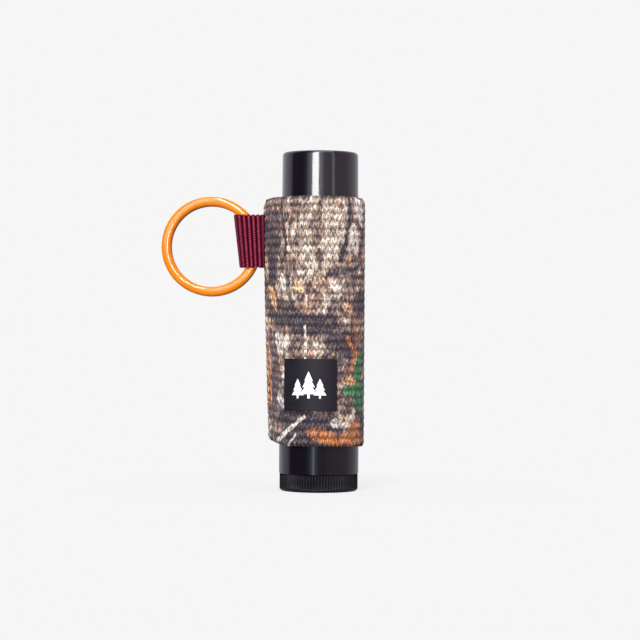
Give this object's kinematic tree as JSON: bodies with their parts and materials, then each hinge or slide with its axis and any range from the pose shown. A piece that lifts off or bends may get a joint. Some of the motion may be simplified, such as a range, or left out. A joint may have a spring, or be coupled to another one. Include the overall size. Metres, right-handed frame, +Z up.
{
  "type": "lip balm tube in a key-ring sleeve",
  "caption": "Twist-up lip balm tube with a pull-off cap, held in a woven elastic sleeve that has a webbing loop and a split key ring.",
  "frame": {"origin": "centre of the dial's underside, on the surface that the upright tube stands on", "axes": "+Z up along the tube towards the cap, -X towards the key ring, -Y out of the side with the patch"},
  "size_m": [0.0422, 0.0194, 0.07],
  "materials": {
    "gloss_black": "glossy moulded black plastic",
    "matte_black": "matte moulded black plastic with fine ribs",
    "natural_plastic": "undyed moulded plastic",
    "wax": "smooth pale wax balm",
    "camo_elastic": null,
    "burgundy_webbing": "burgundy grosgrain webbing with heavy ribs",
    "thread": "spun sewing thread",
    "satin_black": null,
    "orange_paint": "glossy orange enamel on steel"
  },
  "bodies": {
    "barrel": {"barrel": "gloss_black"},
    "dial": {"dial_and_screw": "matte_black"},
    "elevator": {"elevator": "natural_plastic", "balm_stick": "wax"},
    "cap": {"cap": "gloss_black"},
    "sleeve": {"elastic_sleeve": "camo_elastic", "seam_thread": "thread", "patch": "satin_black"},
    "loop": {"ring_loop": "burgundy_webbing"},
    "ring": {"key_ring": "orange_paint"}
  },
  "joints": [
    {"name": "elevator_slide", "type": "slide", "parent": "barrel", "child": "elevator", "axis": [0, 0, 1], "range_m": [-0.0415, 0.0065]},
    {"name": "dial_turn", "type": "hinge", "parent": "barrel", "child": "dial", "pos_m": [0, 0, 0.00175], "axis": [0, 0, 1], "range_deg": [-391, 2491]},
    {"name": "cap_pull", "type": "slide", "parent": "barrel", "child": "cap", "axis": [0, 0, 1], "range_m": [0, 0.03]},
    {"name": "sleeve_slide", "type": "slide", "parent": "barrel", "child": "sleeve", "axis": [0, 0, 1], "range_m": [-0.009, 0.0605]},
    {"name": "loop_swing", "type": "hinge", "parent": "sleeve", "child": "loop", "pos_m": [-0.0136, 0, 0.05165], "axis": [0, 0, 1], "range_deg": [-85, 85], "deforming": ["ring_loop"]},
    {"name": "ring_spin", "type": "hinge", "parent": "loop", "child": "ring", "pos_m": [-0.0225, 0, 0.0504], "axis": [0, 1, 0], "continuous": true}
  ],
  "couplings": [
    {"joint": "dial_turn", "follows": "elevator_slide", "rad_per_m": -1047.2}
  ]
}
